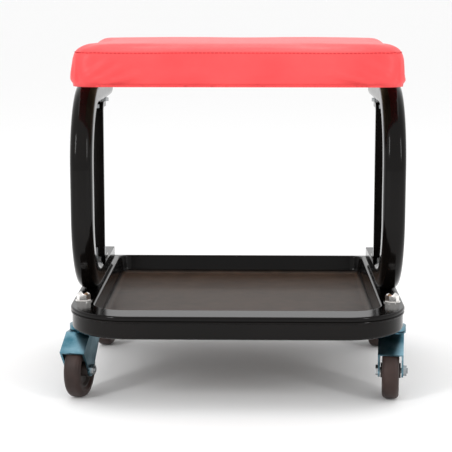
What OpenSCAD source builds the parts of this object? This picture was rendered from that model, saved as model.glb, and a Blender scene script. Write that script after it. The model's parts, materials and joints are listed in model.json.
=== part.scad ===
// Mechanic's rolling seat: padded seat, two bent side frames, tool tray on a base frame, four casters.
// Millimetres. Origin on the floor under the middle of the tray, front at -Y, +Z up.

/* [Tray] */
// Width of the tray over its lip
tray_w = 356; // [344:1:390]
// Depth of the tray, front to rear
tray_d = 356; // [336:1:390]
// Height of the tray's rim above the floor
rim_z = 101; // [99:0.5:112]
// Sheet thickness of the tray
tray_t = 1.2; // [1:0.1:1.5]
// Radius of the tray's two front corners
front_corner_r = 66; // [52:1:78]
// Radius of the tray's two rear corners
rear_corner_r = 12; // [10:0.5:16]
// Width of the flat ledge along each side
ledge_w = 26; // [26:0.5:30]
// Width of the flat rim along the front
front_rim_w = 34; // [30:1:44]
// Width of the folded rim along the rear
rear_rim_w = 6; // [6:0.5:8]
// Depth of the pan below the rim
pan_depth = 22; // [18:0.5:22]
// Radius of the pan's front corners, seen from above
pan_front_r = 32; // [20:1:40]
// Radius of the pan's rear corners, seen from above
pan_rear_r = 14; // [13:0.5:20]
// Lean of the pan's walls, in degrees
pan_lean = 10; // [4:1:14]
// Radius where the pan's walls meet its floor
pan_fillet_r = 8; // [5:0.5:9]
// Radius over the pan's upper edge
pan_edge_r = 2.4; // [2:0.1:2.6]
// Height of the turned-down lip
lip_h = 3.6; // [3:0.1:4.5]
// Radius over the lip's upper edge
lip_edge_r = 2; // [1.6:0.1:2.4]

/* [Base frame] */
// Height of the base frame's lower face above the floor
base_z = 76; // [75:0.5:77]
// Sheet thickness of the base frame
base_t = 1.5; // [1.2:0.1:2]
// Gap between the lip and the base frame inside it
lip_gap = 0.4; // [0.3:0.1:0.6]
// Width of the base frame's flanges
flange_w = 23; // [21:0.5:24]
// Radius of the base frame's lower edge
base_edge_r = 4; // [3:0.5:6]
// Radius of the pressed bead under the lip
bead_r = 1.4; // [1:0.1:1.5]
// Drop from the lip's lower edge to the middle of the bead
bead_drop = 2.6; // [2.2:0.1:5]

/* [Side frames] */
// Width of the side tube, across the seat
tube_w = 24; // [22:0.5:24]
// Depth of the side tube's section, in the plane of its bends
tube_h = 28; // [26:0.5:30]
// Height of the tube where it is pressed flatter on the tray
foot_h = 20; // [19:0.5:22]
// Wall of the side tube
tube_wall = 1.6; // [1.2:0.1:2]
// Corner radius of the tube's section
tube_corner_r = 9; // [6:0.5:9]
// Outer radius of the two bends
bend_r = 90; // [80:1:96]
// How far the bow stands in front of the middle
bow_reach = 112; // [106:1:120]
// How far the runs reach behind the middle
run_reach = 120; // [116:1:128]
// Length over which the foot is pressed flatter
press_l = 22; // [18:1:24]
// Thickness of the end plugs' faces
plug_t = 3; // [2:0.5:4]
// Length of the end plugs' stubs
plug_stub_l = 12; // [8:1:14]
// Clearance round a plug's stub
plug_gap = 0.15; // [0.1:0.05:0.3]

/* [Struts] */
// Width of the upright flat bars
strut_w = 22; // [18:0.5:22]
// Thickness of the upright flat bars
strut_t = 6; // [4:0.5:7]
// Place of the bars' front faces behind the middle
strut_y = 20; // [19:0.5:24]
// Length of the bars' tabs, rearwards
strut_tab_l = 32; // [28:1:36]
// Inner radius of the bars' bends
strut_bend_r = 4; // [3:0.5:5]

/* [Seat] */
// Width of the cushion
seat_w = 354; // [340:1:380]
// Depth of the cushion
seat_d = 266; // [250:1:280]
// Height of the seat's underside above the floor
seat_z = 333.5; // [320:0.5:360]
// Height of the cushion at its edge
cushion_h = 40; // [34:0.5:52]
// Rise of the cushion's crown above its edge
crown_h = 4; // [1:0.5:9]
// Corner radius of the cushion, seen from above
cushion_corner_r = 22; // [16:1:34]
// How far the cushion's sides are drawn in at the seam and under the board
cushion_draw = 7; // [3:0.5:9]
// Thickness of the seat board
board_t = 10; // [9:0.5:15]
// How far the board lies inside the cushion's edge
board_inset = 5.5; // [5:0.5:8]
// Corner radius of the board
board_corner_r = 20; // [18:1:24]
// Clearance between the board and the cushion
soft_gap = 0.3; // [0.2:0.1:0.5]

/* [Fasteners] */
// Diameter of the frame bolts and of the caster stems' threads
bolt_d = 8; // [6:0.5:8]
// Width across flats of the frame bolts' heads and nuts
hex_w = 13; // [12:0.5:14]
// Height of the frame bolts' heads
head_h = 5.3; // [4:0.1:6]
// Height of the frame bolts' nuts
nut_h = 6.5; // [5:0.1:7]
// Length of thread that stands above the front frame nuts
bolt_end_l = 11; // [2:0.5:14]
// Length of thread that stands above the strut nuts
strut_bolt_end_l = 2.5; // [1:0.5:5]
// Diameter of the washers
washer_d = 18; // [16:0.5:20]
// Thickness of the washers
washer_t = 1.2; // [1:0.1:1.6]
// Thickness of the saddle washers under the rear caster nuts
saddle_t = 1.8; // [1.7:0.1:2.4]
// Diameter of the saddle washers
saddle_d = 15; // [14:0.5:15.5]
// Clearance round a saddle washer
saddle_gap = 0.05; // [0.02:0.01:0.1]
// Clearance round a bolt in its hole, on the radius
hole_gap = 0.25; // [0.2:0.05:0.4]
// Place of the front frame bolts behind the middle
frame_bolt_y = 10; // [9:0.5:11]
// Place of the strut bolts behind the middle
strut_bolt_y = 39; // [38:0.5:41]
// Diameter of the seat bolts
seat_bolt_d = 6; // [5:0.5:6]
// Width across flats of the seat bolts' heads
seat_hex_w = 10; // [8:0.5:11]
// Height of the seat bolts' heads
seat_head_h = 4; // [3:0.1:5]
// Place of the front seat bolts in front of the middle
seat_bolt_front = 8; // [4:1:16]
// Place of the rear seat bolts behind the middle
seat_bolt_rear = 96; // [88:1:100]
// How far the seat bolts lie inside the middle of the tubes
seat_bolt_in = 4; // [3:0.5:5]
// Diameter of the barrels of the nuts in the board
tee_barrel_d = 9; // [8.5:0.1:10]
// Diameter of the flanges of the nuts in the board
tee_flange_d = 16; // [14:1:16]
// Thickness of those flanges
tee_flange_t = 1.2; // [1:0.1:1.6]

/* [Casters] */
// Distance of the caster stems from the middle, front and rear
caster_y = 100; // [96:1:106]
// Diameter of the wheels
wheel_d = 60; // [58:0.5:60]
// Width of the tread
tread_w = 18; // [16:0.5:19]
// Radius of the tread's shoulders
shoulder_r = 5; // [3:0.5:6]
// Diameter of the wheel's core
core_d = 40; // [34:1:44]
// Width of the wheel core's boss at the axle
boss_w = 21.4; // [20:0.1:22]
// Diameter of that boss
boss_d = 16; // [13:0.5:20]
// Thickness of the core's web
web_t = 8; // [6:0.5:10]
// Distance of the axle from the stem, level
trail = 17; // [15:0.5:18]
// Width of the yoke over its legs
yoke_w = 27; // [26.5:0.1:28]
// Sheet thickness of the yoke
yoke_t = 2; // [1.6:0.1:2.2]
// Radius of the round top of the yoke and of the cup above it
race_r = 15.4; // [15:0.1:17]
// Height of the yoke's top above the floor
yoke_top_z = 70.5; // [70:0.1:71]
// Distance from the stem to the start of the sloping hood
hood_start = 20; // [19:0.5:21]
// Distance from the stem to the hood's lower edge
hood_reach = 42; // [41:0.5:44]
// Drop of the hood from its start to its lower edge
hood_drop = 17.5; // [15:0.5:18]
// Radius of the legs' lower ends
leg_end_r = 7.5; // [6.5:0.5:9]
// Reach of the legs behind the stem
leg_back = 12; // [10:0.5:13]
// Depth of the legs' rear edge below the yoke's top
leg_back_drop = 12; // [8:0.5:16]
// Sheet thickness of the cup
cup_t = 1.5; // [1.2:0.1:1.8]
// Gap between the cup's lower edge and the yoke
cup_gap = 0.8; // [0.5:0.1:1.2]
// Diameter of the bearing balls
ball_d = 3.2; // [3:0.1:3.4]
// Number of bearing balls in each caster
ball_count = 14; // [8:1:16]
// Diameter of the stem where the yoke turns on it
king_d = 10; // [9:0.5:11]
// Diameter of the stem's lower head
king_head_d = 16; // [14:0.5:18]
// Thickness of the stem's lower head
king_head_t = 3; // [2.5:0.1:3.5]
// Gap between that head and the yoke
king_head_gap = 0.5; // [0.3:0.1:0.8]
// Running clearance of each bearing, on the radius
run_gap = 0.05; // [0.03:0.01:0.08]
// Diameter of the axle bolts
axle_d = 6; // [5:0.5:7]
// Width across flats of the axle bolts' heads and nuts
axle_hex_w = 10; // [8:0.5:11]
// Height of the axle bolts' heads
axle_head_h = 2.6; // [2:0.1:4]
// Height of the axle nuts
axle_nut_h = 3.4; // [3:0.1:5]
// Outer diameter of the spacer sleeves in the base frame
sleeve_d = 14; // [12:0.5:16]
// Height of the dome on the cap nuts
dome_h = 3; // [2:0.5:4]
// Length of thread inside a nut past its face
thread_past = 1.2; // [0.8:0.1:2]
// Turn of the front left caster, in degrees
turn_front_left = -12; // [-180:1:180]
// Turn of the front right caster, in degrees
turn_front_right = -6; // [-180:1:180]
// Turn of the rear left caster, in degrees
turn_rear_left = 174; // [-180:1:180]
// Turn of the rear right caster, in degrees
turn_rear_right = 168; // [-180:1:180]

/* [Hidden] */
$fn = 48;
arc_steps = 6;
corner_steps = 7;
side_steps = 8;
over = 1;

side_x = tray_w / 2 - tube_w / 2;
tray_under = rim_z - tray_t;
web_inset = tray_t + lip_gap;
web_inner = web_inset + base_t;
lip_low = rim_z - lip_h;
bead_z = lip_low - bead_drop;
pan_w = tray_w - 2 * ledge_w;
pan_d = tray_d - front_rim_w - rear_rim_w;
pan_y = (front_rim_w - rear_rim_w) / 2;
floor_z = rim_z - pan_depth;
wall_top_z = rim_z - pan_edge_r * (1 - sin(pan_lean));
wall_top_in = -pan_edge_r * (1 - cos(pan_lean));
wall_low_z = floor_z + pan_fillet_r * (1 - sin(pan_lean));
wall_low_in = wall_top_in + (wall_top_z - wall_low_z) * tan(pan_lean);
fillet_in = wall_low_in + pan_fillet_r * cos(pan_lean);
flat_in = fillet_in + 2;

bend_axis_y = bend_r - bow_reach;
bend_mid_r = bend_r - tube_h / 2;
bend_top_z = seat_z - bend_r;
bend_low_z = rim_z + bend_r;
foot_top = rim_z + foot_h;
top_run_low = seat_z - tube_h;
strut_rear = strut_y + strut_t;

board_w = seat_w - 2 * board_inset;
board_d = seat_d - 2 * board_inset;
seat_bolt_places = [-seat_bolt_front, strut_bolt_y, seat_bolt_rear];
cushion_side_shares =
    [[0, 0.6], [0.06, 0.4], [0.18, 0.14], [0.4, 0], [0.62, 0.06], [0.8, 0.3], [0.93, 0.7], [1, 1.6]];
cushion_top_shares = [0.93, 0.82, 0.66, 0.46, 0.24];

axle_z = wheel_d / 2;
yoke_plate_low = yoke_top_z - yoke_t;
hood_slope = hood_drop / (hood_reach - hood_start);
hood_low_z = yoke_top_z - hood_drop;
hood_fall = yoke_t * sqrt(1 + hood_slope * hood_slope);
king_head_top = yoke_plate_low - king_head_gap;
ball_ring_r = race_r - cup_t - ball_d / 2 - cup_gap / 2;
rear_nut_z = rim_z + tube_wall + saddle_t;
// columns: side, end, turn
caster_places = [
    [-1, -1, turn_front_left],
    [1, -1, turn_front_right],
    [-1, 1, turn_rear_left],
    [1, 1, turn_rear_right],
];

// Shared outlines

function arc(c, r, a0, a1) =
    [for (i = [0:arc_steps]) let(a = a0 + (a1 - a0) * i / arc_steps) c + r * [cos(a), sin(a)]];

// a rectangle with one radius at its two front corners and another at its two rear corners
module rounded_plan(w, d, r_front, r_rear) {
    translate([-w / 2, r_front - d / 2]) square([w, d - r_front - r_rear]);
    translate([r_front - w / 2, -d / 2]) square([w - 2 * r_front, d / 2]);
    translate([r_rear - w / 2, 0]) square([w - 2 * r_rear, d / 2]);
    for (s = [-1, 1]) {
        translate([s * (w / 2 - r_front), r_front - d / 2]) circle(r_front);
        translate([s * (w / 2 - r_rear), d / 2 - r_rear]) circle(r_rear);
    }
}

// the same rectangle drawn in by an inset
module inset_plan(w, d, r_front, r_rear, inset) {
    rounded_plan(w - 2 * inset, d - 2 * inset, r_front - inset, r_rear - inset);
}

module plate(z, t) {
    translate([0, 0, z]) linear_extrude(t) children();
}

// sweeps a profile of [inset, height] points round the rounded rectangle
module rim_sweep(w, d, r_front, r_rear, profile) {
    for (s = [0, 1]) mirror([s, 0, 0]) {
        translate([0, d / 2 - r_rear, 0]) rotate([90, 0, 0]) linear_extrude(d - r_front - r_rear)
            polygon([for (p = profile) [w / 2 - p.x, p.y]]);
        translate([w / 2 - r_rear, d / 2 - r_rear, 0]) rotate_extrude(angle = 90)
            polygon([for (p = profile) [r_rear - p.x, p.y]]);
        translate([w / 2 - r_front, r_front - d / 2, 0]) rotate([0, 0, -90]) rotate_extrude(angle = 90)
            polygon([for (p = profile) [r_front - p.x, p.y]]);
    }
    translate([r_front - w / 2, 0, 0]) rotate([90, 0, 90]) linear_extrude(w - 2 * r_front)
        polygon([for (p = profile) [p.x - d / 2, p.y]]);
    translate([r_rear - w / 2, 0, 0]) rotate([90, 0, 90]) linear_extrude(w - 2 * r_rear)
        polygon([for (p = profile) [d / 2 - p.x, p.y]]);
}

module each_caster(ends = [-1, 1]) {
    for (p = caster_places) if (search(p[1], ends) != [])
        translate([p[0] * side_x, p[1] * caster_y, 0]) children();
}

module at_caster(i) {
    p = caster_places[i];
    translate([p[0] * side_x, p[1] * caster_y, 0]) rotate([0, 0, p[2]]) children();
}

module each_side() {
    for (s = [-1, 1]) translate([s * side_x, 0, 0]) children();
}

module hole(d, z0, z1) {
    translate([0, 0, z0 - over]) cylinder(d = d + 2 * hole_gap, h = z1 - z0 + 2 * over);
}

module hex(w, h) {
    cylinder(d = w / cos(30), h = h, $fn = 6);
}

// Tray and base frame

module tray() color("#1b1b1d") {
    lip = concat(
        arc([lip_edge_r, rim_z - lip_edge_r], lip_edge_r, 90, 180),
        [[0, lip_low], [tray_t, lip_low]],
        arc([lip_edge_r, rim_z - lip_edge_r], lip_edge_r - tray_t, 180, 90));
    wall_lean = [pan_lean, 180 + pan_lean];
    edge = [-pan_edge_r, rim_z - pan_edge_r];
    foot = [fillet_in, floor_z + pan_fillet_r];
    wall = concat(
        arc(edge, pan_edge_r, 90, wall_lean[0]), arc(foot, pan_fillet_r, wall_lean[1], 270),
        [[flat_in, floor_z], [flat_in, floor_z - tray_t]],
        arc(foot, pan_fillet_r + tray_t, 270, wall_lean[1]), arc(edge, pan_edge_r - tray_t, wall_lean[0], 90));
    rim_sweep(tray_w, tray_d, front_corner_r, rear_corner_r, lip);
    translate([0, pan_y, 0]) {
        rim_sweep(pan_w, pan_d, pan_front_r, pan_rear_r, wall);
        plate(floor_z - tray_t, tray_t)
            inset_plan(pan_w, pan_d, pan_front_r, pan_rear_r, (fillet_in + flat_in) / 2);
    }
    difference() {
        plate(tray_under, tray_t) inset_plan(tray_w, tray_d, front_corner_r, rear_corner_r, lip_edge_r);
        translate([0, pan_y, 0]) plate(tray_under - over, tray_t + 2 * over)
            inset_plan(pan_w, pan_d, pan_front_r, pan_rear_r, -pan_edge_r);
        each_caster() hole(bolt_d, tray_under, rim_z);
        frame_bolt_places() hole(bolt_d, tray_under, rim_z);
    }
}

module base_frame() color("#1b1b1d") {
    low_c = [web_inset + base_edge_r, base_z + base_edge_r];
    web = concat(
        [[lip_edge_r, tray_under], [web_inset, tray_under - lip_edge_r + web_inset]],
        arc([web_inset, bead_z], bead_r, 90, 270),
        arc(low_c, base_edge_r, 180, 270),
        arc(low_c, base_edge_r - base_t, 270, 180), [[web_inner, tray_under]]);
    top_flange_z = tray_under - base_t;
    rim_sweep(tray_w, tray_d, front_corner_r, rear_corner_r, web);
    difference() {
        plate(base_z, base_t) difference() {
            inset_plan(tray_w, tray_d, front_corner_r, rear_corner_r, web_inset + base_edge_r);
            rounded_plan(tray_w - 2 * (web_inset + flange_w), tray_d - 2 * (web_inset + flange_w),
                front_corner_r - flange_w, rear_corner_r / 2);
        }
        each_caster() hole(bolt_d, base_z, base_z + base_t);
    }
    difference() {
        plate(top_flange_z, base_t) difference() {
            inset_plan(tray_w, tray_d, front_corner_r, rear_corner_r, web_inset + base_t / 2);
            translate([0, pan_y, 0]) rounded_plan(pan_w + 2 * pan_edge_r, pan_d + 2 * rear_rim_w,
                pan_front_r + pan_edge_r, pan_rear_r);
        }
        each_caster() hole(bolt_d, top_flange_z, tray_under);
        frame_bolt_places() hole(bolt_d, top_flange_z, tray_under);
    }
}

module caster_sleeves() color("#9aa0a4")
    each_caster() difference() {
        low = base_z + base_t;
        high = tray_under - base_t;
        translate([0, 0, low]) cylinder(d = sleeve_d, h = high - low);
        hole(bolt_d, low, high);
    }

// Side frames: drawn in the plane of the bends, with x to the rear, y up and z across the seat

module tube_section(h, w, r) {
    square([h - 2 * r, w], center = true);
    square([h, w - 2 * r], center = true);
    for (a = [-1, 1], b = [-1, 1]) translate([a * (h / 2 - r), b * (w / 2 - r)]) circle(r);
}

module tube_form(inset, end) {
    w = tube_w - 2 * inset;
    h = tube_h - 2 * inset;
    r = tube_corner_r - inset;
    press_y = bend_axis_y + press_l;
    for (c = [[90, bend_top_z], [180, bend_low_z]])
        translate([bend_axis_y, c[1], 0]) rotate([0, 0, c[0]]) rotate_extrude(angle = 90)
            translate([bend_mid_r, 0]) tube_section(h, w, r);
    translate([bend_axis_y - bend_mid_r, bend_low_z, 0]) rotate([-90, 0, 0])
        linear_extrude(bend_top_z - bend_low_z) tube_section(h, w, r);
    translate([bend_axis_y, seat_z - tube_h / 2, 0]) rotate([90, 0, 90])
        linear_extrude(run_reach - bend_axis_y + end) tube_section(h, w, r);
    // the foot: the same tube with its top pressed down flat
    intersection() {
        translate([bend_axis_y, rim_z + tube_h / 2, 0]) rotate([90, 0, 90])
            linear_extrude(run_reach - bend_axis_y + end) tube_section(h, w, r);
        linear_extrude(tube_w, center = true) polygon([
            [bend_axis_y, rim_z], [run_reach + end, rim_z], [run_reach + end, foot_top - inset],
            [press_y, foot_top - inset], [bend_axis_y, rim_z + tube_h - inset]]);
    }
}

module side_frame(side) color("#161618")
    difference() {
        translate([side * side_x, 0, 0]) rotate([90, 0, 90]) difference() {
            tube_form(0, 0);
            tube_form(tube_wall, over);
        }
        frame_bolt_places() hole(bolt_d, rim_z, foot_top);
        each_caster([1]) hole(bolt_d, rim_z, rear_nut_z);
        seat_bolt_places() hole(seat_bolt_d, top_run_low, seat_z);
    }

// an end plug in the same plane, its stub inside the tube; the foot's plug is cut flat like the foot
module plug(mid, top) {
    inset = tube_wall + plug_gap;
    for (part = [[0, 0, plug_t], [inset, -plug_stub_l, plug_stub_l]]) intersection() {
        translate([run_reach + part[1], mid, 0]) rotate([90, 0, 90]) linear_extrude(part[2])
            tube_section(tube_h - 2 * part[0], tube_w - 2 * part[0], tube_corner_r - part[0]);
        translate([run_reach - plug_stub_l, top - part[0] - tube_h, -tube_w / 2])
            cube([plug_stub_l + plug_t, tube_h, tube_w]);
    }
}

module plugs(side) color("#101011")
    translate([side * side_x, 0, 0]) rotate([90, 0, 90]) {
        plug(seat_z - tube_h / 2, seat_z);
        plug(rim_z + tube_h / 2, foot_top);
    }

module strut(side) color("#222326")
    difference() {
        low = foot_top;
        high = top_run_low;
        outer_r = strut_bend_r + strut_t;
        outer = concat(
            arc([strut_y + outer_r, low + outer_r], outer_r, 270, 180),
            arc([strut_y + outer_r, high - outer_r], outer_r, 180, 90),
            [[strut_y + strut_tab_l, high], [strut_y + strut_tab_l, high - strut_t]]);
        inner = concat(
            arc([strut_y + outer_r, high - outer_r], strut_bend_r, 90, 180),
            arc([strut_y + outer_r, low + outer_r], strut_bend_r, 180, 270),
            [[strut_y + strut_tab_l, low + strut_t], [strut_y + strut_tab_l, low]]);
        translate([side * side_x - strut_w / 2, 0, 0]) rotate([90, 0, 90])
            linear_extrude(strut_w) polygon(concat(outer, inner));
        translate([side * side_x, strut_bolt_y, 0]) hole(bolt_d, low, low + strut_t);
        translate([side * (side_x - seat_bolt_in), strut_bolt_y, 0]) hole(seat_bolt_d, high - strut_t, high);
    }

// Frame bolts: head inside the base frame, nut on the tube's foot or on the strut's tab

module frame_bolt_places() {
    each_side() for (y = [frame_bolt_y, strut_bolt_y]) translate([0, y, 0]) children();
}

module frame_bolts() color("#b9c3c8")
    for (b = [[frame_bolt_y, foot_top + washer_t + nut_h + bolt_end_l],
              [strut_bolt_y, foot_top + strut_t + nut_h + strut_bolt_end_l]])
        each_side() translate([0, b[0], 0]) {
            seat = tray_under - base_t;
            translate([0, 0, seat - head_h]) hex(hex_w, head_h);
            translate([0, 0, seat]) cylinder(d = bolt_d, h = b[1] - seat);
        }

module ring_nut(d) {
    difference() {
        hex(hex_w, nut_h);
        hole(d - hole_gap, 0, nut_h);
    }
}

module washer() {
    difference() {
        cylinder(d = washer_d, h = washer_t);
        hole(bolt_d, 0, washer_t);
    }
}

module frame_nuts() color("#c3d2d8") each_side() {
    translate([0, frame_bolt_y, foot_top]) {
        washer();
        translate([0, 0, washer_t]) ring_nut(bolt_d);
    }
    translate([0, strut_bolt_y, foot_top + strut_t]) ring_nut(bolt_d);
}

// Seat

module seat_bolt_rows() {
    for (s = [-1, 1]) translate([s * (side_x - seat_bolt_in), 0, 0]) children();
}

module seat_bolt_places() {
    seat_bolt_rows() for (y = seat_bolt_places) translate([0, y, 0]) children();
}

module seat_board() color("#b58a58")
    difference() {
        plate(seat_z, board_t) rounded_plan(board_w, board_d, board_corner_r, board_corner_r);
        seat_bolt_places() {
            hole(tee_barrel_d, seat_z, seat_z + board_t);
            translate([0, 0, seat_z + board_t - tee_flange_t])
                cylinder(d = tee_flange_d + 2 * hole_gap, h = tee_flange_t + over);
        }
    }

module board_nuts() color("#aab4b8")
    seat_bolt_places() difference() {
        union() {
            translate([0, 0, seat_z]) cylinder(d = tee_barrel_d, h = board_t);
            translate([0, 0, seat_z + board_t - tee_flange_t]) cylinder(d = tee_flange_d, h = tee_flange_t);
        }
        hole(seat_bolt_d, seat_z, seat_z + board_t);
    }

module seat_bolts() color("#b9c3c8")
    seat_bolt_rows() for (y = seat_bolt_places) {
        // the middle bolt also holds the strut's upper tab
        under = top_run_low - (y == strut_bolt_y ? strut_t : 0);
        translate([0, y, under - seat_head_h]) hex(seat_hex_w, seat_head_h);
        translate([0, y, under]) cylinder(d = seat_bolt_d, h = seat_z + board_t - tee_flange_t - under);
    }

// the cushion's outline as points, anticlockwise, with the same count at every size
function corner_points(c, r, a) =
    [for (i = [0:corner_steps]) let(b = a + 90 * i / corner_steps) c + r * [cos(b), sin(b)]];
function between(p, q) = [for (i = [1:side_steps - 1]) p + (q - p) * i / side_steps];
function cushion_loop(w, d, r) =
    let (x = w / 2, y = d / 2)
    concat(
        corner_points([x - r, y - r], r, 0), between([x - r, y], [r - x, y]),
        corner_points([r - x, y - r], r, 90), between([-x, y - r], [-x, r - y]),
        corner_points([r - x, r - y], r, 180), between([r - x, -y], [x - r, -y]),
        corner_points([x - r, r - y], r, 270), between([x, r - y], [x, y - r]));
function lifted(loop, z) = [for (p = loop) [p.x, p.y, z]];

module seat_cushion() color("#e2232b")
    difference() {
        edge = cushion_draw * cushion_side_shares[len(cushion_side_shares) - 1][1];
        loops = concat(
            [for (s = cushion_side_shares) let (in = cushion_draw * s[1])
                lifted(cushion_loop(seat_w - 2 * in, seat_d - 2 * in, cushion_corner_r), seat_z + cushion_h * s[0])],
            [for (s = cushion_top_shares)
                lifted(cushion_loop((seat_w - 2 * edge) * s, (seat_d - 2 * edge) * s, cushion_corner_r * s),
                    seat_z + cushion_h + crown_h * (1 - s * s))]);
        n = len(loops[0]);
        m = len(loops);
        points = concat([for (l = loops) each l], [[0, 0, seat_z + cushion_h + crown_h]]);
        sides = [for (k = [0:m - 2], i = [0:n - 1])
            let (a = k * n + i, b = k * n + (i + 1) % n) each [[a, a + n, b + n], [a, b + n, b]]];
        under = [for (i = [1:n - 2]) [0, i, i + 1]];
        top = [for (i = [0:n - 1]) [(m - 1) * n + i, m * n, (m - 1) * n + (i + 1) % n]];
        polyhedron(points, concat(sides, under, top));
        plate(seat_z - over, board_t + soft_gap + over)
            rounded_plan(board_w + 2 * soft_gap, board_d + 2 * soft_gap,
                board_corner_r + soft_gap, board_corner_r + soft_gap);
    }

// Casters, each in its own frame: stem on the z axis, trail towards -y

module stem(i) color("#b4bec3") {
    end = caster_places[i][1] < 0
        ? rim_z + washer_t + nut_h
        : rear_nut_z + nut_h + thread_past;
    at_caster(i) {
        translate([0, 0, king_head_top - king_head_t]) cylinder(d = king_head_d, h = king_head_t);
        translate([0, 0, king_head_top]) cylinder(d = king_d, h = base_z - king_head_top);
        translate([0, 0, base_z]) cylinder(d = bolt_d, h = end - base_z);
    }
}

// lies in the rounded bottom of the foot, under the rear nut
module saddle_washer() {
    inset = tube_wall + saddle_gap;
    difference() {
        intersection() {
            translate([0, 0, rim_z]) cylinder(d = saddle_d, h = rear_nut_z - rim_z);
            translate([0, saddle_d, rim_z + tube_h / 2]) rotate([90, 0, 0]) linear_extrude(2 * saddle_d)
                rotate(90) tube_section(tube_h - 2 * inset, tube_w - 2 * inset, tube_corner_r - inset);
        }
        hole(bolt_d, rim_z, rear_nut_z);
    }
}

module stem_nuts() color("#d7dcdd") {
    each_caster([-1]) translate([0, 0, rim_z]) {
        washer();
        translate([0, 0, washer_t]) difference() {
            union() {
                hex(hex_w, nut_h);
                translate([0, 0, nut_h]) intersection() {
                    dome_r = (hex_w * hex_w / 4 + dome_h * dome_h) / (2 * dome_h);
                    translate([0, 0, dome_h - dome_r]) sphere(dome_r);
                    cylinder(d = hex_w, h = dome_h);
                }
            }
            translate([0, 0, -over]) cylinder(d = bolt_d + hole_gap, h = nut_h + over);
        }
    }
    each_caster([1]) {
        saddle_washer();
        translate([0, 0, rear_nut_z]) ring_nut(bolt_d);
    }
}

module cup(i) color("#a9c8d2")
    at_caster(i) difference() {
        low = yoke_top_z + cup_gap;
        translate([0, 0, low]) cylinder(r = race_r, h = base_z - low);
        translate([0, 0, low - over]) cylinder(r = race_r - cup_t, h = base_z - cup_t - low + over);
        translate([0, 0, low]) cylinder(d = king_d + 2 * run_gap, h = base_z - low + over);
    }

module balls(i) color("#d9dee0")
    at_caster(i) for (k = [0:ball_count - 1]) rotate([0, 0, 360 * k / ball_count])
        translate([ball_ring_r, 0, yoke_top_z + ball_d / 2]) sphere(d = ball_d);

module yoke(i) color("#9fd0dd")
    at_caster(i) difference() {
        union() {
            rotate([90, 0, 90]) linear_extrude(yoke_w, center = true) polygon([
                [leg_back, yoke_top_z], [-hood_start, yoke_top_z], [-hood_reach, hood_low_z],
                [-trail - leg_end_r, axle_z], [leg_end_r - trail, axle_z],
                [leg_back, yoke_top_z - leg_back_drop]]);
            translate([0, -trail, axle_z]) rotate([0, 90, 0])
                cylinder(r = leg_end_r, h = yoke_w, center = true);
            translate([0, 0, yoke_plate_low]) cylinder(r = race_r, h = yoke_t);
        }
        rotate([90, 0, 90]) linear_extrude(yoke_w - 2 * yoke_t, center = true) polygon([
            [race_r + over, yoke_plate_low],
            [-hood_start + (hood_fall - yoke_t) / hood_slope, yoke_plate_low],
            [-hood_reach - over, hood_low_z - hood_fall - over * hood_slope],
            [-hood_reach - over, 0], [race_r + over, 0]]);
        translate([0, 0, yoke_plate_low - over]) cylinder(d = king_d + 2 * run_gap, h = yoke_t + 2 * over);
        translate([0, -trail, axle_z]) rotate([0, 90, 0])
            cylinder(d = axle_d + 2 * run_gap, h = yoke_w + 2 * over, center = true);
    }

module axle(i) color("#c6d6dc")
    at_caster(i) translate([0, -trail, axle_z]) rotate([0, 90, 0]) {
        translate([0, 0, -yoke_w / 2]) cylinder(d = axle_d, h = yoke_w + axle_nut_h + thread_past);
        translate([0, 0, -yoke_w / 2 - axle_head_h]) hex(axle_hex_w, axle_head_h);
    }

module axle_nut(i) color("#c6d6dc")
    at_caster(i) translate([yoke_w / 2, -trail, axle_z]) rotate([0, 90, 0]) difference() {
        hex(axle_hex_w, axle_nut_h);
        translate([0, 0, -over]) cylinder(d = axle_d + 2 * run_gap, h = axle_nut_h + 2 * over);
    }

module core(i) color("#3a3634")
    at_caster(i) translate([0, -trail, axle_z]) rotate([0, 90, 0]) rotate_extrude() {
        bore = axle_d / 2 + run_gap;
        polygon([
            [bore, -boss_w / 2], [boss_d / 2, -boss_w / 2], [boss_d / 2, -web_t / 2],
            [core_d / 2 - web_t / 2, -web_t / 2], [core_d / 2 - web_t / 4, -tread_w / 2 + shoulder_r / 2],
            [core_d / 2, -tread_w / 2 + shoulder_r / 2], [core_d / 2, tread_w / 2 - shoulder_r / 2],
            [core_d / 2 - web_t / 4, tread_w / 2 - shoulder_r / 2], [core_d / 2 - web_t / 2, web_t / 2],
            [boss_d / 2, web_t / 2], [boss_d / 2, boss_w / 2], [bore, boss_w / 2]]);
    }

module tread(i) color("#4a4341")
    at_caster(i) translate([0, -trail, axle_z]) rotate([0, 90, 0]) rotate_extrude() {
        side = tread_w / 2;
        rim = wheel_d / 2;
        polygon(concat(
            [[core_d / 2, side - shoulder_r / 2], [core_d / 2 + shoulder_r / 2, side]],
            arc([rim - shoulder_r, side - shoulder_r], shoulder_r, 90, 0),
            arc([rim - shoulder_r, shoulder_r - side], shoulder_r, 0, -90),
            [[core_d / 2 + shoulder_r / 2, -side], [core_d / 2, shoulder_r / 2 - side]]));
    }

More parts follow.
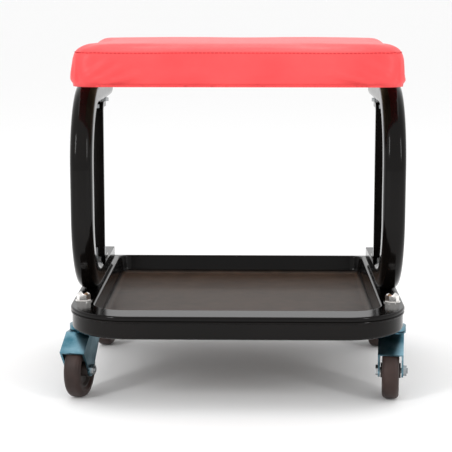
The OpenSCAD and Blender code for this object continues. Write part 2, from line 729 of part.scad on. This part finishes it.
tray();
base_frame();
side_frame(-1);  // side_frame_left
side_frame(1);  // side_frame_right
strut(-1);  // strut_left
strut(1);  // strut_right
plugs(-1);  // plugs_left
plugs(1);  // plugs_right
frame_bolts();
frame_nuts();
seat_board();
seat_cushion();
seat_bolts();
board_nuts();
caster_sleeves();
stem_nuts();
stem(0);  // stem_front_left
cup(0);  // cup_front_left
balls(0);  // balls_front_left
yoke(0);  // yoke_front_left
axle(0);  // axle_front_left
axle_nut(0);  // axle_nut_front_left
core(0);  // core_front_left
tread(0);  // tread_front_left
stem(1);  // stem_front_right
cup(1);  // cup_front_right
balls(1);  // balls_front_right
yoke(1);  // yoke_front_right
axle(1);  // axle_front_right
axle_nut(1);  // axle_nut_front_right
core(1);  // core_front_right
tread(1);  // tread_front_right
stem(2);  // stem_rear_left
cup(2);  // cup_rear_left
balls(2);  // balls_rear_left
yoke(2);  // yoke_rear_left
axle(2);  // axle_rear_left
axle_nut(2);  // axle_nut_rear_left
core(2);  // core_rear_left
tread(2);  // tread_rear_left
stem(3);  // stem_rear_right
cup(3);  // cup_rear_right
balls(3);  // balls_rear_right
yoke(3);  // yoke_rear_right
axle(3);  // axle_rear_right
axle_nut(3);  // axle_nut_rear_right
core(3);  // core_rear_right
tread(3);  // tread_rear_right
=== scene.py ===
"""Dresses the rolling seat: black paint, plated casters, dark wheels and a stitched red cushion."""

import json
import math

import bmesh
import bpy
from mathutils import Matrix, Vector


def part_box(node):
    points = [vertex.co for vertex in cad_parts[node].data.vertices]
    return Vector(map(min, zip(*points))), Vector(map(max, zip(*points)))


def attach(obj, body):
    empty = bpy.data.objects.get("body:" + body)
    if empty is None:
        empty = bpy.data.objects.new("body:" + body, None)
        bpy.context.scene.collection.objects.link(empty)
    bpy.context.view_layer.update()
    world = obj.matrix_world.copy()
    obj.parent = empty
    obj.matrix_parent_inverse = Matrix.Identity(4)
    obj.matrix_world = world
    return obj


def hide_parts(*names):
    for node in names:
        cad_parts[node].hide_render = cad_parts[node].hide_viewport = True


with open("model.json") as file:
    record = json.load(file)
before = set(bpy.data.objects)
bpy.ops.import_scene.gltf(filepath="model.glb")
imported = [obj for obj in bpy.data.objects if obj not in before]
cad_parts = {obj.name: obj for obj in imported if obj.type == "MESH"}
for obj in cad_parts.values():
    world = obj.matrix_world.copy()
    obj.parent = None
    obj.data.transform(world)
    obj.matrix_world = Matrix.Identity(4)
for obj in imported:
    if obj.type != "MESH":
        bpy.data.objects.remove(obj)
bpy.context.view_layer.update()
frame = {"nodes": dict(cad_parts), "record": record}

MM = 0.001

# the cushion and the board in it, from their solids
CUSHION_LOW, CUSHION_HIGH = (Vector(corner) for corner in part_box("seat_cushion"))
BOARD_HIGH = Vector(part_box("seat_board")[1])
CUSHION_W = CUSHION_HIGH.x - CUSHION_LOW.x
CUSHION_D = CUSHION_HIGH.y - CUSHION_LOW.y
CORNER_R = 22 * MM
BOARD_R = 20 * MM
# rise of the solid's crown, and of the cover's before it is blown up
CROWN = 4 * MM
FLAT_CROWN = 1.5 * MM
EDGE_Z = CUSHION_HIGH.z - CROWN
SIDE_H = EDGE_Z - CUSHION_LOW.z
# how far a share of 1 draws the sides in, and how much smaller the cover starts
DRAW = 7 * MM
SWELL = 0.5 * MM
# from the underside up: share of the side's height, and share of the draw there
SIDE_SHARES = [
    (0, 0.5),
    (0.05, 0.34),
    (0.16, 0.15),
    (0.4, 0.05),
    (0.66, 0.12),
    (0.84, 0.3),
    (0.94, 0.55),
    (1, 1.3),
]
# size of each ring on the top, as a share of its edge
TOP_SHARES = [0.95, 0.86, 0.72, 0.55, 0.36, 0.18]

# the cover before it is folded: mesh size, and how far the cloth may move
COVER_MESH = 5 * MM
SWELL_CAP = 3 * MM
SWELL_FRAMES = 20
# the cover is held to this height while it is blown up
HELD_H = 4 * MM
COVER_T = 0.8 * MM
# the cover is turned in under the board this far
WRAP = 14 * MM
# points this close over the board's top, or to its edge, are moved out of the board
NEAR_TOP = 2 * MM
NEAR_EDGE = 3 * MM
# points up to this height over the cover's lowest edge are pressed flat
UNDERSIDE_H = 1.2 * MM

# pull folds in the front's lower corners: start from the side, end's height, run, all in mm
CORNER_FOLDS = [(12, 26, 34), (22, 20, 40), (40, 14, 46)]
FOLD_START_H = 4 * MM
FOLD = 3.2 * MM
FOLD_W = 3.2 * MM
# share of a sine's half turn that is left out at each end of a fold, so it keeps some height there
FOLD_END = 0.05
# the folds fade out over this depth behind the front face
FRONT_DEPTH = 14 * MM
FRONT_FADE = 8 * MM
# soft waves of the foam: height, turns and shifts in radians
WAVE = 0.35 * MM
WAVE_X, SHIFT_X = 47, 1.3
WAVE_Y, SHIFT_Y = 39, 0.4
# points this far under the top's edge move up and down with the waves, lower ones in and out
TOP_BAND = 2 * MM

# the top seam: share of the side's height, width and depth of the recess
SEAM_SHARE = 0.97
SEAM_W = 1.6 * MM
SEAM_DEPTH = 1.0 * MM
# the stitches: how far under the seam and how far in, as shares, and their sizes
STITCH_DROP = 0.05
STITCH_DRAW = 0.4
STITCH_LIFT = 0.1 * MM
STITCH_PITCH = 4.2 * MM
THREAD_R = 0.45 * MM
STITCH_L = 3.0 * MM
THREAD_SIDES = 8

# the pan floor's wrinkled texture and its painted light, a lighter mottled brown, are full up to
# the first height and gone from the second
FLOOR_FULL_Z = 80 * MM
FLOOR_END_Z = 86 * MM

# shares of a noise at which a finish has its dark and its light colour
DARK_AT = 0.35
LIGHT_AT = 0.7
COAT_IOR = 1.3

FLOOR_HALF = 400.0
FLOOR_WHITE = 0.96
LAMP_AIM = (0, 0, 0.2)
# each lamp's name, place, width, height and power in watts
LAMPS = [
    ("front_left", (-1.3, -1.6, 1.2), 0.3, 0.9, 13),
    ("front_right", (1.4, -1.5, 1.0), 0.25, 0.9, 8),
    ("over", (0, 0.2, 2.0), 1.6, 1.6, 9),
]

# the camera, fitted to the photograph: lengths in metres, angles in radians, lens in mm
CAMERA_PLACE = (0.0193, -1.6266, 0.4319)
CAMERA_TIP = 0.1615
CAMERA_TURN = 0.0208
LENS = 115.4
SENSOR_W = 36


# ---- materials

# sockets of a Map Range node
VALUE, FROM_LOW, FROM_HIGH, TO_LOW, TO_HIGH = range(5)


def shader(name):
    """A new material, its tree and its Principled node."""
    mat = bpy.data.materials.new(name)
    mat.use_nodes = True
    tree = mat.node_tree
    return mat, tree, tree.nodes["Principled BSDF"]


def add(tree, kind, inputs=(), **settings):
    """Adds a node; inputs are (socket, value or output socket) pairs."""
    node = tree.nodes.new(kind)
    for key, value in settings.items():
        setattr(node, key, value)
    for socket, value in inputs:
        if isinstance(value, bpy.types.NodeSocket):
            tree.links.new(value, node.inputs[socket])
        else:
            node.inputs[socket].default_value = value
    return node


def own_place(tree):
    """The place on the piece itself, in metres, which patterns follow."""
    return add(tree, "ShaderNodeTexCoord").outputs["Object"]


def spread(tree, source, low, high):
    """Maps a 0 to 1 output on to a range."""
    inputs = [(VALUE, source), (TO_LOW, low), (TO_HIGH, high)]
    return add(tree, "ShaderNodeMapRange", inputs).outputs[0]


def times(tree, first, second):
    return add(tree, "ShaderNodeMath", [(0, first), (1, second)], operation="MULTIPLY").outputs[0]


def noise(tree, where, scale, detail):
    """A 0 to 1 noise with about scale lumps to the metre."""
    inputs = [("Vector", where), ("Scale", scale), ("Detail", detail)]
    return add(tree, "ShaderNodeTexNoise", inputs).outputs[0]


def bump(tree, bsdf, height, strength, distance):
    inputs = [("Strength", strength), ("Distance", distance), ("Height", height)]
    tree.links.new(add(tree, "ShaderNodeBump", inputs).outputs[0], bsdf.inputs["Normal"])


def tint(tree, bsdf, factor, dark, light):
    """Colours the finish between dark and light by a 0 to 1 output."""
    ramp = add(tree, "ShaderNodeValToRGB", [("Fac", factor)])
    for element, place, colour in zip(ramp.color_ramp.elements, (DARK_AT, LIGHT_AT), (dark, light)):
        element.color = (*colour, 1)
        element.position = place
    tree.links.new(ramp.outputs[0], bsdf.inputs["Base Color"])


def roughen(tree, bsdf, factor, low, high):
    tree.links.new(spread(tree, factor, low, high), bsdf.inputs["Roughness"])


def coat(bsdf, specular, weight, rough):
    """A thin clear coat over a paint of low shine."""
    bsdf.inputs["Specular IOR Level"].default_value = specular
    bsdf.inputs["Coat Weight"].default_value = weight
    bsdf.inputs["Coat IOR"].default_value = COAT_IOR
    bsdf.inputs["Coat Roughness"].default_value = rough


def black_gloss_paint():
    """Stoved black paint with a faint brown cast and faint orange peel."""
    mat, tree, bsdf = shader("black_gloss_paint")
    where = own_place(tree)
    cloud = noise(tree, where, 9.0, 6.0)
    tint(tree, bsdf, cloud, (0.0024, 0.0020, 0.0018), (0.005, 0.0040, 0.0036))
    roughen(tree, bsdf, noise(tree, where, 60.0, 5.0), 0.12, 0.22)
    coat(bsdf, specular=0.1, weight=0.2, rough=0.06)
    bump(tree, bsdf, noise(tree, where, 420.0, 2.0), 0.05, 0.3 * MM)
    return mat


def tray_paint():
    """The same paint on the tray, with the fine wrinkled texture of its floor; the floor's lighter,
    brownish mottling is painted light where it faces up.
    """
    mat, tree, bsdf = shader("tray_paint")
    where = own_place(tree)
    height = add(tree, "ShaderNodeSeparateXYZ", [(0, where)]).outputs["Z"]
    fade = [(VALUE, height), (FROM_LOW, FLOOR_END_Z), (FROM_HIGH, FLOOR_FULL_Z)]
    fade += [(TO_LOW, 0.0), (TO_HIGH, 1.0)]
    on_floor = add(tree, "ShaderNodeMapRange", fade).outputs[0]
    grain = noise(tree, where, 700.0, 3.0)
    cloud = spread(tree, noise(tree, where, 70.0, 8.0), 0.48, 0.74)
    # painted light: the up-facing floor is tinted a lighter, mottled brown over the dark paint,
    # fading out up the walls
    painted_floor_light = times(tree, cloud, on_floor)
    tint(tree, bsdf, painted_floor_light, (0.003, 0.0024, 0.0022), (0.070, 0.044, 0.030))
    roughen(tree, bsdf, on_floor, 0.16, 0.5)
    coat(bsdf, specular=0.12, weight=0.12, rough=0.12)
    bump(tree, bsdf, times(tree, grain, on_floor), 0.35, 0.4 * MM)
    return mat


def plated(name, dark, light, rough_low, rough_high):
    """Plated steel with the cloudy bloom of a passivated finish and a fine grain."""
    mat, tree, bsdf = shader(name)
    where = own_place(tree)
    tint(tree, bsdf, noise(tree, where, 45.0, 6.0), dark, light)
    bsdf.inputs["Metallic"].default_value = 1.0
    roughen(tree, bsdf, noise(tree, where, 120.0, 4.0), rough_low, rough_high)
    bump(tree, bsdf, noise(tree, where, 900.0, 2.0), 0.06, 0.2 * MM)
    return mat


def moulded(name, dark, light, rough, scale, depth):
    """Rubber, plastic or thread with a fine grain and a dusty variation."""
    mat, tree, bsdf = shader(name)
    where = own_place(tree)
    tint(tree, bsdf, noise(tree, where, 30.0, 6.0), dark, light)
    roughen(tree, bsdf, noise(tree, where, 80.0, 4.0), rough - 0.08, rough + 0.08)
    bsdf.inputs["Specular IOR Level"].default_value = 0.3
    bump(tree, bsdf, noise(tree, where, scale, 3.0), depth, 0.3 * MM)
    return mat


def red_vinyl():
    """Red vinyl on foam: leather grain of small cells, soft sheen, slight variation in colour."""
    mat, tree, bsdf = shader("red_vinyl")
    where = own_place(tree)
    tint(tree, bsdf, noise(tree, where, 14.0, 5.0), (0.72, 0.040, 0.044), (0.84, 0.064, 0.066))
    grain = add(tree, "ShaderNodeTexVoronoi", [("Vector", where), ("Scale", 650.0)])
    roughen(tree, bsdf, noise(tree, where, 200.0, 3.0), 0.42, 0.56)
    bsdf.inputs["Sheen Weight"].default_value = 0.15
    bsdf.inputs["Sheen Roughness"].default_value = 0.4
    bump(tree, bsdf, grain.outputs["Distance"], 0.25, 0.35 * MM)
    return mat


def plywood():
    """Plywood: long grain on the faces and glued plies on the edge."""
    mat, tree, bsdf = shader("plywood")
    stretch = [("Vector", own_place(tree)), ("Scale", (6.0, 90.0, 400.0))]
    grain = noise(tree, add(tree, "ShaderNodeMapping", stretch).outputs[0], 1.0, 8.0)
    tint(tree, bsdf, grain, (0.30, 0.18, 0.08), (0.62, 0.44, 0.24))
    bsdf.inputs["Roughness"].default_value = 0.7
    bump(tree, bsdf, grain, 0.2, 0.3 * MM)
    return mat


PLATED = [
    ("zinc_steel", (0.24, 0.26, 0.27), (0.48, 0.50, 0.51), 0.26, 0.42),
    ("bright_steel", (0.72, 0.70, 0.68), (0.92, 0.90, 0.88), 0.1, 0.2),
    ("blue_zinc", (0.05, 0.15, 0.20), (0.26, 0.42, 0.50), 0.24, 0.38),
]
MOULDED = [
    ("black_plastic", (0.01, 0.01, 0.01), (0.022, 0.022, 0.022), 0.45, 500.0, 0.2),
    ("dark_plastic", (0.02, 0.016, 0.015), (0.045, 0.036, 0.033), 0.42, 400.0, 0.2),
    ("dark_rubber", (0.020, 0.010, 0.008), (0.044, 0.025, 0.021), 0.5, 600.0, 0.35),
]
FINISHES = {
    "black_gloss_paint": black_gloss_paint(),
    "plywood": plywood(),
    "red_vinyl": red_vinyl(),
}
FINISHES.update((row[0], plated(*row)) for row in PLATED)
FINISHES.update((row[0], moulded(*row)) for row in MOULDED)
TRAY_PAINT = tray_paint()
THREAD = moulded("red_thread", (0.45, 0.01, 0.015), (0.62, 0.03, 0.035), 0.7, 2400.0, 0.4)


def give(obj, mat):
    obj.data.materials.clear()
    obj.data.materials.append(mat)


for part in frame["record"]["subparts"]:
    give(frame["nodes"][part["node"]], FINISHES[part["material_slot"]])
give(frame["nodes"]["tray"], TRAY_PAINT)


# ---- cushion


def new_object(name, data):
    obj = bpy.data.objects.new(name, data)
    bpy.context.scene.collection.objects.link(obj)
    return obj


def outline(width, depth, radius, per_corner=9, per_side=14):
    """The cushion seen from above, anticlockwise, with the same count at every size."""
    x, y = width / 2 - radius, depth / 2 - radius
    centres = ((x, y), (-x, y), (-x, -y), (x, -y))

    def on_corner(k, turn):
        cx, cy = centres[k % len(centres)]
        return Vector((cx + radius * math.cos(turn), cy + radius * math.sin(turn)))

    points = []
    for k in range(len(centres)):
        turns = [math.radians(90 * (k + i / per_corner)) for i in range(per_corner + 1)]
        points += [on_corner(k, turn) for turn in turns]
        start, end = points[-1], on_corner(k + 1, math.radians(90 * (k + 1)))
        points += [start.lerp(end, i / per_side) for i in range(1, per_side)]
    return points


def cushion_form(shrink):
    """The crowned block of foam, drawn in at the seam and under the board."""
    rings = []
    for share, inset in SIDE_SHARES:
        cut = 2 * (DRAW * inset + shrink)
        ring = outline(CUSHION_W - cut, CUSHION_D - cut, CORNER_R)
        rings.append([(p.x, p.y, CUSHION_LOW.z + SIDE_H * share) for p in ring])
    edge = 2 * (DRAW * SIDE_SHARES[-1][1] + shrink)
    for share in TOP_SHARES:
        ring = outline((CUSHION_W - edge) * share, (CUSHION_D - edge) * share, CORNER_R * share)
        rings.append([(p.x, p.y, EDGE_Z + FLAT_CROWN * (1 - share * share)) for p in ring])
    bm = bmesh.new()
    rows = [[bm.verts.new(p) for p in ring] for ring in rings]
    count = len(rows[0])
    for low, high in zip(rows, rows[1:]):
        for i in range(count):
            j = (i + 1) % count
            bm.faces.new((low[i], low[j], high[j], high[i]))
    bm.faces.new(list(reversed(rows[0])))
    bm.faces.new(rows[-1])
    bmesh.ops.recalc_face_normals(bm, faces=bm.faces)
    mesh = bpy.data.meshes.new("cushion_form")
    bm.to_mesh(mesh)
    bm.free()
    return mesh


def applied(obj, name):
    """The object's mesh with its modifiers applied, as a plain mesh."""
    depsgraph = bpy.context.evaluated_depsgraph_get()
    mesh = bpy.data.meshes.new_from_object(obj.evaluated_get(depsgraph))
    mesh.name = name
    return mesh


def swell(obj):
    """Blows the cover up a little with cloth pressure, held along its underside."""
    start = [v.co.copy() for v in obj.data.vertices]
    low = [v.index for v in obj.data.vertices if v.co.z < CUSHION_LOW.z + HELD_H]
    held = obj.vertex_groups.new(name="held")
    held.add(low, 1.0, "REPLACE")
    cloth = obj.modifiers.new("cloth", "CLOTH")
    cloth.settings.vertex_group_mass = held.name
    cloth.settings.use_pressure = True
    cloth.settings.uniform_pressure_force = 4.0
    cloth.settings.effector_weights.gravity = 0.0
    cloth.settings.quality = 5
    cloth.settings.tension_stiffness = 25
    cloth.settings.bending_stiffness = 2
    for step in range(1, SWELL_FRAMES + 1):
        bpy.context.scene.frame_set(step)
    mesh = applied(obj, "seat_cushion_cover")
    obj.modifiers.remove(cloth)
    bpy.context.scene.frame_set(1)
    for vert, was in zip(mesh.vertices, start):
        move = vert.co - was
        if move.length > SWELL_CAP:
            vert.co = was + move * (SWELL_CAP / move.length)
    obj.data = mesh
    obj.vertex_groups.clear()


def clamp(value, low, high):
    return max(low, min(high, value))


def ridge(point, start, end):
    """Height, 0 to 1, of a fold along the line from start to end, in the plane of x and z."""
    p, a, b = Vector((point.x, point.z)), Vector(start), Vector(end)
    line = b - a
    t = clamp((p - a).dot(line) / line.length_squared, 0.0, 1.0)
    away = (p - a - line * t).length / FOLD_W
    along = FOLD_END + t * (1 - 2 * FOLD_END)
    return math.exp(-away * away) * math.sin(math.pi * along)


def corner_folds():
    """Start and end of each pull fold, in the plane of x and z."""
    low, half = CUSHION_LOW.z, CUSHION_W / 2
    for side in (-1, 1):
        for shift, rise, run in CORNER_FOLDS:
            start = (side * (half - shift * MM), low + FOLD_START_H)
            yield start, (side * (half - (shift + run) * MM), low + rise * MM)


def keep_outside_board(co):
    """Moves a point of the cover that is at the board's edge out past it."""
    core = Vector((BOARD_HIGH.x - BOARD_R, BOARD_HIGH.y - BOARD_R))
    nearest = Vector((clamp(co.x, -core.x, core.x), clamp(co.y, -core.y, core.y)))
    away = co.xy - nearest
    beyond = away.length - BOARD_R
    if -NEAR_EDGE < beyond < COVER_T and away.length > 0:
        co.xy = nearest + away * ((BOARD_R + COVER_T) / away.length)


def recess_underside(co):
    """Lays the cover's underside on the board, and wraps its edge round and under the board."""
    if co.z >= BOARD_HIGH.z + NEAR_TOP:
        return
    margin = min(BOARD_HIGH.x - WRAP - abs(co.x), BOARD_HIGH.y - WRAP - abs(co.y))
    if margin > 0:
        co.z = BOARD_HIGH.z + COVER_T
        return
    keep_outside_board(co)
    if co.z < CUSHION_LOW.z + UNDERSIDE_H:
        co.z = CUSHION_LOW.z - COVER_T


def folds(mesh):
    """Folds in the front's lower corners, soft waves, the seam, and the recess for the board."""
    lines = list(corner_folds())
    seam_z = CUSHION_LOW.z + SIDE_H * SEAM_SHARE
    for vert in mesh.vertices:
        co = vert.co
        front = clamp((-co.y - CUSHION_D / 2 + FRONT_DEPTH) / FRONT_FADE, 0.0, 1.0)
        if front:
            co.y -= front * FOLD * sum(ridge(co, start, end) for start, end in lines)
        wave = math.sin(co.x * WAVE_X + SHIFT_X) * math.sin(co.y * WAVE_Y + SHIFT_Y) * WAVE
        if co.z > EDGE_Z - TOP_BAND:
            co.z += wave
        else:
            outward = Vector((2 * co.x / CUSHION_W, 2 * co.y / CUSHION_D)).normalized()
            from_seam = (co.z - seam_z) / SEAM_W
            co.xy += outward * (wave - SEAM_DEPTH * math.exp(-from_seam * from_seam))
        recess_underside(co)
    mesh.update()


def cushion():
    """The cover: the foam's form, evenly meshed, blown up a little and folded."""
    obj = new_object("seat_cushion_cover", cushion_form(SWELL))
    remesh = obj.modifiers.new("remesh", "REMESH")
    remesh.mode = "VOXEL"
    remesh.voxel_size = COVER_MESH
    obj.data = applied(obj, "seat_cushion_cover")
    obj.modifiers.clear()
    swell(obj)
    smooth = obj.modifiers.new("fine", "SUBSURF")
    smooth.levels = smooth.render_levels = 1
    obj.data = applied(obj, "seat_cushion_cover")
    obj.modifiers.clear()
    folds(obj.data)
    obj.data.polygons.foreach_set("use_smooth", [True] * len(obj.data.polygons))
    give(obj, FINISHES["red_vinyl"])
    return obj


def stitch_tree():
    """Geometry Nodes: short threads laid at a pitch along a closed line, and each size's socket."""
    tree = bpy.data.node_groups.new("stitches", "GeometryNodeTree")
    face = tree.interface
    face.new_socket("Line", in_out="INPUT", socket_type="NodeSocketGeometry")
    sizes = {}
    for label, value in (
        ("Pitch", STITCH_PITCH),
        ("Thread radius", THREAD_R),
        ("Stitch length", STITCH_L),
    ):
        socket = face.new_socket(label, in_out="INPUT", socket_type="NodeSocketFloat")
        sizes[socket.identifier] = value
    face.new_socket("Stitches", in_out="OUTPUT", socket_type="NodeSocketGeometry")
    new = tree.nodes.new
    link = tree.links.new
    inp, out = new("NodeGroupInput"), new("NodeGroupOutput")
    curve = new("GeometryNodeMeshToCurve")
    points = new("GeometryNodeCurveToPoints")
    points.mode = "LENGTH"
    thread = new("GeometryNodeMeshCylinder")
    thread.inputs["Vertices"].default_value = THREAD_SIDES
    place = new("GeometryNodeInstanceOnPoints")
    real = new("GeometryNodeRealizeInstances")
    dress = new("GeometryNodeSetMaterial")
    dress.inputs["Material"].default_value = THREAD
    turn = new("FunctionNodeAlignRotationToVector")
    turn.axis = "Z"
    link(inp.outputs["Line"], curve.inputs[0])
    link(curve.outputs[0], points.inputs["Curve"])
    link(inp.outputs["Pitch"], points.inputs["Length"])
    link(inp.outputs["Thread radius"], thread.inputs["Radius"])
    link(inp.outputs["Stitch length"], thread.inputs["Depth"])
    link(points.outputs["Points"], place.inputs["Points"])
    link(points.outputs["Tangent"], turn.inputs["Vector"])
    link(turn.outputs[0], place.inputs["Rotation"])
    link(thread.outputs["Mesh"], place.inputs["Instance"])
    link(place.outputs[0], real.inputs[0])
    link(real.outputs[0], dress.inputs[0])
    link(dress.outputs[0], out.inputs[0])
    return tree, sizes


def on_cover(cover, points):
    """The points moved on to the cover's surface, a little outside it."""
    placed = []
    for p in points:
        hit, where, normal, _ = cover.closest_point_on_mesh(p)
        placed.append(where + normal * STITCH_LIFT if hit else p)
    return placed


def stitches(cover):
    """The row of stitches just under the top seam, all round the cushion."""
    cut = 2 * DRAW * STITCH_DRAW
    height = CUSHION_LOW.z + SIDE_H * (SEAM_SHARE - STITCH_DROP)
    ring = outline(CUSHION_W - cut, CUSHION_D - cut, CORNER_R, per_corner=16, per_side=60)
    places = on_cover(cover, [Vector((p.x, p.y, height)) for p in ring])
    mesh = bpy.data.meshes.new("seam_line")
    mesh.from_pydata(places, [(i, (i + 1) % len(places)) for i in range(len(places))], [])
    obj = new_object("seat_stitches", mesh)
    modifier = obj.modifiers.new("stitches", "NODES")
    modifier.node_group, sizes = stitch_tree()
    for socket, value in sizes.items():
        modifier[socket] = value
    obj.data = applied(obj, "seat_stitches")
    obj.modifiers.clear()
    return obj


COVER = cushion()
STITCHES = stitches(COVER)
for piece in (COVER, STITCHES):
    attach(piece, "frame")
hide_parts("seat_cushion")


# ---- studio


def floor():
    corners = [(-1, -1), (1, -1), (1, 1), (-1, 1)]
    mesh = bpy.data.meshes.new("studio_floor")
    mesh.from_pydata([(x * FLOOR_HALF, y * FLOOR_HALF, 0) for x, y in corners], [], [(0, 1, 2, 3)])
    obj = new_object("studio_floor", mesh)
    mat, _, bsdf = shader("studio_floor")
    bsdf.inputs["Base Color"].default_value = (FLOOR_WHITE, FLOOR_WHITE, FLOOR_WHITE, 1)
    bsdf.inputs["Roughness"].default_value = 0.9
    bsdf.inputs["Specular IOR Level"].default_value = 0.1
    give(obj, mat)


def lamp(name, place, width, height, power):
    light = bpy.data.lights.new(name, "AREA")
    light.shape = "RECTANGLE"
    light.size, light.size_y, light.energy = width, height, power
    obj = new_object(name, light)
    obj.location = place
    obj.rotation_euler = (Vector(LAMP_AIM) - Vector(place)).to_track_quat("-Z", "Y").to_euler()


def studio():
    """An even white surround with two lamps in front and one over the seat."""
    world = bpy.data.worlds.new("studio")
    world.use_nodes = True
    back = world.node_tree.nodes["Background"]
    back.inputs["Color"].default_value = (1, 1, 1, 1)
    back.inputs["Strength"].default_value = 1.0
    bpy.context.scene.world = world
    for row in LAMPS:
        lamp(*row)
    bpy.context.scene.view_settings.view_transform = "Standard"


def camera():
    """A long lens 1.6 metres in front, a little above the seat, tipped down at the tray."""
    data = bpy.data.cameras.new("photo_view")
    data.sensor_width = SENSOR_W
    data.lens = LENS
    obj = new_object("photo_view", data)
    obj.location = CAMERA_PLACE
    obj.rotation_euler = (math.radians(90) - CAMERA_TIP, 0, CAMERA_TURN)
    bpy.context.scene.camera = obj


floor()
studio()
camera()
